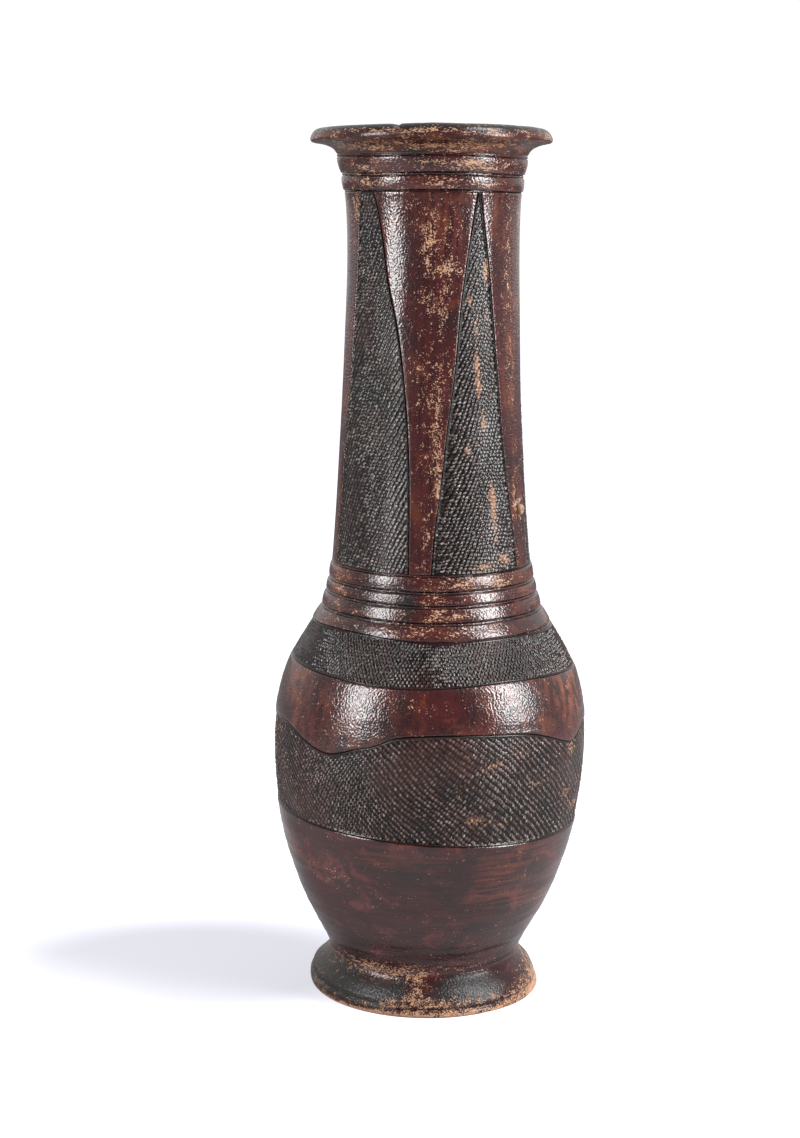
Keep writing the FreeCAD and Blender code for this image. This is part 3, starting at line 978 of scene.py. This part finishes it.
def panel_relief(centre, merged):
    """A sunk panel, whose beads run together along their rows by the share merged."""
    bead = 0.47 + 0.16 * merged, 0.45 - 0.05 * merged

    def relief(azimuth, level, margin, ends, arc):
        side = (azimuth - centre) * arc
        up = level - PANEL_MIDDLE
        row = (-side * math.sin(PANEL_TURN) + up * math.cos(PANEL_TURN)) / PANEL_ROW
        along = (side * math.cos(PANEL_TURN) + up * math.sin(PANEL_TURN)) / PANEL_BEAD + row / 2
        bare = spots(azimuth, level, NECK_BARE)
        faint = spots(azimuth, level, NECK_FAINT) + 0.35 * bare
        height, colour = impressions(azimuth, level, along, row, 0.9, 1.0, faint, 3, *bead)
        inner = ease((margin - 0.8) / 1.2) * ease((ends - 0.8) / 1.4)
        edge = panel_edge(margin, ends)
        masks = {"bare": bare, "wear": np.clip(0.08 + 0.25 * faint, 0, 1), "warm": 0.34}
        return stamped_field(azimuth, level, height - 0.1, colour, inner, edge, 0.3, **masks)

    return relief


# The thin raised scar just over the pellet, which climbs to the right across its strip
SCAR_LEVEL, SCAR_SLOPE = 404.9, 0.444
SCAR_LEFT, SCAR_RIGHT = 55.5, 70


def strip_relief(azimuth, level, margin, ends, arc):
    """A smooth strip between two panels, burnished lengthwise."""
    offset = 0.22 * stroke(azimuth, level) + 0.08 * stroke_fine(azimuth, level) + 0.15
    scar_at = SCAR_LEVEL + (azimuth - SCAR_LEFT) * SCAR_SLOPE
    scar = 1.0 * np.exp(-(((level - scar_at) / 1.1) ** 2))
    scar = scar * ease((azimuth - SCAR_LEFT) / 1.5) * ease((SCAR_RIGHT - azimuth) / 1.5)
    edge = panel_edge(margin, ends)
    inner = ease((margin - 0.5) / 2) * ease((ends - 0.5) / 2)
    masks = marks(azimuth, level, relief=np.minimum(edge, 0))
    masks["wear"] = np.clip(masks["wear"] + 0.6 * scar, 0, 1)
    return (offset + scar) * inner + edge, masks


# How far the beads of a row run together in each panel
PANEL_MERGED = (0.65, 0.15, 0.6, 0.5, 0.8)
PANEL_COLUMNS, STRIP_COLUMNS = 152, 48
for index, merged in enumerate(PANEL_MERGED):
    low, high = PANEL_EDGES[index]
    centre = float(np.mean([low(NECK_FOOT), high(NECK_FOOT)]))
    neck_piece(
        f"neck_panel_{index + 1}", low, high, NECK_LEVELS, int(PANEL_COLUMNS / COARSE),
        panel_relief(centre, merged), impressed, 0.20,
    )
    following = PANEL_EDGES[(index + 1) % len(PANEL_EDGES)][0]
    turn = 360 if index == len(PANEL_EDGES) - 1 else 0
    neck_piece(
        f"neck_strip_{index + 1}", high, lambda level, f=following, t=turn: f(level) + t,
        NECK_LEVELS[::2], STRIP_COLUMNS, strip_relief, slip_upright, 0.55,
    )


# Throat
wall_ring(
    "throat_band", flat_line(NECK_TOP), flat_line(THROAT_TOP),
    shares(NECK_TOP, THROAT_TOP, 1.1, THROAT_LINES, 2.6, 0.35), 600,
    banded_relief(THROAT_LINES, 1.1, 1.25), slip_round, 4,
)


# Rim and foot: closed turned outlines of (radius, level) points
RING_COLUMNS = 640


def turned_ring(node, outline, relief, look, marks_of):
    """A closed ring turned from an outline, whose points are moved along its own normal."""
    columns = int(RING_COLUMNS / COARSE)
    tangent = np.roll(outline, -1, axis=0) - np.roll(outline, 1, axis=0)
    tangent /= np.linalg.norm(tangent, axis=1)[:, None]
    azimuth = np.broadcast_to(ring_azimuths(columns), (len(outline), columns))
    radius = np.broadcast_to(outline[:, 0:1], azimuth.shape)
    level = np.broadcast_to(outline[:, 1:2], azimuth.shape)
    offset, shift = relief(azimuth, level, radius)
    radius = radius + offset * tangent[:, 1:2]
    level = np.clip(level + offset * -tangent[:, 0:1] + shift, 0, MOUTH)
    points = placed(azimuth, level, radius).reshape(-1, 3)
    quads = grid_faces(np.arange(len(points)).reshape(azimuth.shape), True, closed_up=True)
    mesh_piece(node + "_dressed", points, quads, [], marks_of(azimuth, level, radius), look, [node])


def resampled(points, step):
    """The polyline with points a step apart, its first and last kept."""
    points = np.asarray(points, float)
    along = np.append(0, np.cumsum(np.linalg.norm(np.diff(points, axis=0), axis=1)))
    count = max(2, int(round(along[-1] / step)) + 1)
    where = np.linspace(0, along[-1], count)
    return np.stack([np.interp(where, along, points[:, k]) for k in range(2)], 1)


THROAT_END = (75.0, 676.5)
CREASE = (91.0, 687.5)
LIP_INSIDE = (66.2, 672.5)
RIM_OUTSIDE = [THROAT_END, (75.9, 679.2), (78.4, 682.2), (82.6, 684.9), (87.4, 686.7), CREASE]
RIM_LIP = [
    CREASE, (94.0, 688.7), (95.2, 690.8), (94.7, 693.4), (92.9, 696.5), (90.0, 698.9), (86.6, 699.9),
    (82.0, 699.9), (78.0, 699.2), (74.6, 697.2), (72.0, 693.6), (70.0, 687.0), LIP_INSIDE,
]
rim_outline = np.concatenate([
    resampled(smooth_line(RIM_OUTSIDE), 0.7 * COARSE)[:-1],
    resampled(smooth_line(RIM_LIP), 0.7 * COARSE),
    resampled([LIP_INSIDE, THROAT_END], 3.0)[1:-1],
])
RIM_OUTER_FROM = 74
lip_waver = Field(9, 80)
rim_dents = Field(40, 7)


def rim_relief(azimuth, level, radius):
    """The lip, with the uppermost line, a crease under its edge, a chip, nicks and a droop to the left."""
    offset = 0.12 * wiping(azimuth, level) + 0.22 * rim_dents(azimuth, level)
    offset = offset * ease((level - 677.5) / 3) + hand(azimuth, THROAT_TOP) * ease((688 - level) / 10)
    outer = radius > RIM_OUTER_FROM
    offset = offset + np.where(outer, double_groove(level - THROAT_TOP, 1.0), 0)
    crease = groove(np.hypot(radius - CREASE[0], level - CREASE[1]), 1.1, 0.9)
    offset = offset + np.where(outer & (level < 692), crease, 0)
    chip = np.exp(-((wrap(azimuth + 18) / 1.6) ** 2) - ((radius - 88) / 6) ** 2) * (level > 693)
    nicks = np.clip(rim_dents(azimuth * 2 + 50, level) - 0.55, 0, 1) * (level > 690) * outer
    side = np.sin(np.radians(azimuth))
    left, right = np.clip(-side, 0, 1), np.clip(side, 0, 1)
    droop = (2.6 * left + 0.9 * right + 0.3) * ease((level - 680) / 12)
    shift = -2.4 * chip + 0.45 * lip_waver(azimuth, 690) * ease((level - 680) / 15) - droop
    return offset - 0.9 * nicks, shift


def rim_marks(azimuth, level, radius):
    """The masks of the rim, smoked round its mouth and plain inside."""
    line = np.where(radius > RIM_OUTER_FROM, double_groove(level - THROAT_TOP, 0.8), 0)
    out = marks(azimuth, level, relief=np.minimum(line, 0), inside=(radius < 74.8) & (level < 697))
    round_mouth = ((radius < 80) & (level > 684)).astype(np.float32)
    out["smoke"] = np.clip(out["smoke"] + 0.75 * round_mouth, 0, 1)
    return out


turned_ring("rim_lip", rim_outline, rim_relief, slip_rim, rim_marks)

FOOT_LINE = 7.4
FOOT_INSIDE = [(64.6, 31.0), (70.0, 20.0), (78.0, 8.0), (86.4, 0.0)]
FOOT_OUTSIDE = [
    (78.2, 31.0), (78.9, 28.0), (80.9, 25.2), (84.2, 22.4), (87.8, 18.9), (90.8, 14.6), (92.8, 10.4),
    (93.4, FOOT_LINE), (94.5, 6.0), (94.9, 4.2), (94.6, 1.6), (92.6, 0.0),
]
FOOT_BARE = [
    (20, 2, 80, 4.5, 0.56), (80, 10, 22, 14, 0.46), (118, 5, 36, 9, 0.36), (200, 4, 60, 6, 0.4),
    (-30, 0, 40, 4, 0.45),
]
foot_outline = np.concatenate([
    resampled(smooth_line(FOOT_OUTSIDE)[::-1], 0.8 * COARSE),
    resampled([FOOT_OUTSIDE[0], FOOT_INSIDE[0]], 3.0)[1:],
    resampled(smooth_line(FOOT_INSIDE), 1.5 * COARSE)[1:],
])
FOOT_OUTER_FROM = 76
FOOT_EDGE_FROM = 90
foot_dents = Field(26, 10)


def above_foot_line(azimuth, level):
    """How far a level is over the line round the foot, which wavers."""
    return level - FOOT_LINE - 0.6 * lip_waver(azimuth, 40)


def foot_relief(azimuth, level, radius):
    """The foot, dented, with a wavering line over its edge, and tilted a little to the right."""
    outer = (radius > FOOT_OUTER_FROM).astype(float)
    offset = 0.35 * foot_dents(azimuth, level) + 0.10 * wiping(azimuth, level)
    ends = ease(level / 4) * ease((FOOT_TOP - level) / 4)
    offset = offset * ends + outer * hand(azimuth, FOOT_TOP) * ease((level - 8) / 18)
    line = groove(above_foot_line(azimuth, level), 1.0, 0.9) * outer * (radius > FOOT_EDGE_FROM)
    tilt = -4.0 * np.sin(np.radians(azimuth)) * np.exp(-(((level - 8) / 8) ** 2)) * outer
    return offset + line, tilt * ease(level / 3)


def foot_marks(azimuth, level, radius):
    """The masks of the foot, bare on parts of its edge and in its hollow."""
    hollow = (radius < 93) & (level < FOOT_TOP) & (radius < 64 + (FOOT_TOP - level) * 0.9 + 2)
    bare = np.clip(spots(azimuth, level, FOOT_BARE) + hollow * 0.7, 0, 1)
    line = groove(above_foot_line(azimuth, level), 1.2, 1.0) * (radius > FOOT_EDGE_FROM)
    return marks(azimuth, level, bare=bare, relief=np.minimum(line, 0))


turned_ring("foot_ring", foot_outline, foot_relief, slip_foot, foot_marks)


# Pellet on the neck, from (radius, height) points
PELLET_AZIMUTH, PELLET_LEVEL = 66.0, 401.7
PELLET_SUNK = 1.2
PELLET_BOTTOM = -0.8
PELLET_COLUMNS = 40
PELLET_PROFILE = [(0.0, 1.9), (0.9, 2.1), (1.7, 3.3), (2.9, 3.5), (3.9, 2.6), (4.3, 1.0), (4.4, 0.0)]


def pellet():
    """A worn button of clay with a pit, stuck on the strip right of the right hand panel."""
    profile = smooth_line(PELLET_PROFILE, 4)
    turn = 2 * np.pi * np.arange(PELLET_COLUMNS) / PELLET_COLUMNS
    wobble = 1 + 0.05 * np.sin(3 * turn + 1) + 0.03 * np.sin(7 * turn)
    radius, height = profile[1:, :1] * wobble, profile[1:, 1:] + 0 * turn
    rings = np.stack([radius * np.cos(turn), radius * np.sin(turn), height], -1)
    local = np.concatenate([[(0, 0, profile[0, 1])], rings.reshape(-1, 3), [(0, 0, PELLET_BOTTOM)]])
    ids = 1 + np.arange(rings[..., 0].size).reshape(rings.shape[:2])
    first, last = ids[0], ids[-1]
    caps = [[0, first[k - 1], first[k]] for k in range(PELLET_COLUMNS)]
    caps += [[len(local) - 1, last[k], last[k - 1]] for k in range(PELLET_COLUMNS)]
    angle = math.radians(PELLET_AZIMUTH)
    out = np.array([math.sin(angle), -math.cos(angle), 0])
    side = np.array([math.cos(angle), math.sin(angle), 0])
    up = np.array([0, 0, 1])
    reach = float(outside(PELLET_LEVEL) + hand(PELLET_AZIMUTH, PELLET_LEVEL)) - PELLET_SUNK
    centre = out * reach + (float(lean(PELLET_LEVEL)), 0, PELLET_LEVEL)
    points = centre + local @ np.stack([side, up, out])
    quads = grid_faces(ids, True, flip=True)
    mesh_piece("neck_boss_dressed", points, quads, caps, {}, bare_clay, ["neck_boss"])


pellet()

floor_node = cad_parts["floor_disc"]
floor_node.data.materials.clear()
floor_node.data.materials.append(bare_clay[0])


# Studio, in metres
def area_light(name, place, target, size, power):
    """A rectangular lamp that faces a target."""
    light = new_object(name, bpy.data.lights.new(name, "AREA"))
    light.data.shape = "RECTANGLE"
    light.data.size, light.data.size_y = size
    light.data.energy = power
    light.location = place
    light.rotation_euler = (Vector(target) - Vector(place)).to_track_quat("-Z", "Y").to_euler()


area_light("softbox_left", (-1.47, -1.03, 1.05), (0, 0, 0.45), (0.46, 1.4), 54)
area_light("softbox_right", (1.63, -0.80, 1.05), (0, 0, 0.42), (0.56, 1.4), 70)
area_light("top_light", (1.25, -0.35, 2.4), (0, 0, 0.2), (0.5, 0.5), 34)


def studio_world():
    """A backdrop that the camera sees as white, with the side of the room behind the camera dark.

    So the burnished slip keeps its depth, and only its rims mirror the backdrop.
    """
    world = bpy.data.worlds.new("studio")
    bpy.context.scene.world = world
    world.use_nodes = True
    n = Nodes(world.node_tree)
    ahead = n.node("ShaderNodeSeparateXYZ", {0: n.coordinates["Generated"]}).outputs["Y"]
    lit = n.ramp(ahead, -0.35, 0.55, 0.03, 0.85)
    room = n.node("ShaderNodeBackground", {"Color": WHITE, "Strength": lit}).outputs[0]
    seen = n.node("ShaderNodeBackground", {"Color": WHITE, "Strength": 1.1}).outputs[0]
    to_camera = n.node("ShaderNodeLightPath").outputs["Is Camera Ray"]
    choice = n.node("ShaderNodeMixShader", {0: to_camera, 1: room, 2: seen})
    n.node("ShaderNodeOutputWorld", {0: choice.outputs[0]})


FLOOR_HALF = 12.0
PAPER = rgb(0.38, 0.38, 0.39)
# The glow is faintly blue, which tints the painted shadow where the glow is weaker.
GLOW = rgb(0.94, 0.95, 1.08)
# Where the painted shadow lies, as the paper's glow dims round this place, and how it is squeezed from front
# to back
SHADE_PLACE = (-0.195, 0.035, 0)
SHADE_STRETCH = (1.0, 1.5, 1.0)


def studio_floor():
    """Paper that glows for the camera alone; the glow is dimmed to the left of the vessel, a painted shadow
    laid over the real one that the vessel throws there.
    """
    corners = [(x * FLOOR_HALF, y * FLOOR_HALF, 0) for x, y in ((-1, -1), (1, -1), (1, 1), (-1, 1))]
    mesh = bpy.data.meshes.new("studio_floor")
    mesh.from_pydata(corners, [], [(0, 1, 2, 3)])
    paper = bpy.data.materials.new("studio_paper")
    paper.use_nodes = True
    n = Nodes(paper.node_tree)
    matte = n.node("ShaderNodeBsdfDiffuse", {"Color": PAPER}).outputs[0]
    stretch = {0: n.coordinates["Object"], 1: SHADE_STRETCH}
    place = n.node("ShaderNodeVectorMath", stretch, operation="MULTIPLY").outputs[0]
    away = n.node("ShaderNodeVectorMath", {0: place, 1: SHADE_PLACE}, operation="DISTANCE").outputs["Value"]
    to_camera = n.node("ShaderNodeLightPath").outputs["Is Camera Ray"]
    strength = n.times(to_camera, n.ramp(away, 0.11, 0.25, 0.42, 1.0))
    glow = n.node("ShaderNodeEmission", {"Color": GLOW, "Strength": strength}).outputs[0]
    both = n.node("ShaderNodeAddShader", {0: matte, 1: glow})
    n.node("ShaderNodeOutputMaterial", {0: both.outputs[0]})
    mesh.materials.append(paper)
    new_object("studio_floor", mesh)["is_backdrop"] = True


studio_world()
studio_floor()

view = bpy.context.scene.view_settings
view.view_transform = "Standard"
view.look = "None"
view.exposure = 0.0
view.gamma = 1.0

# The bounds of the scene's shown objects, without the studio floor
low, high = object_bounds()
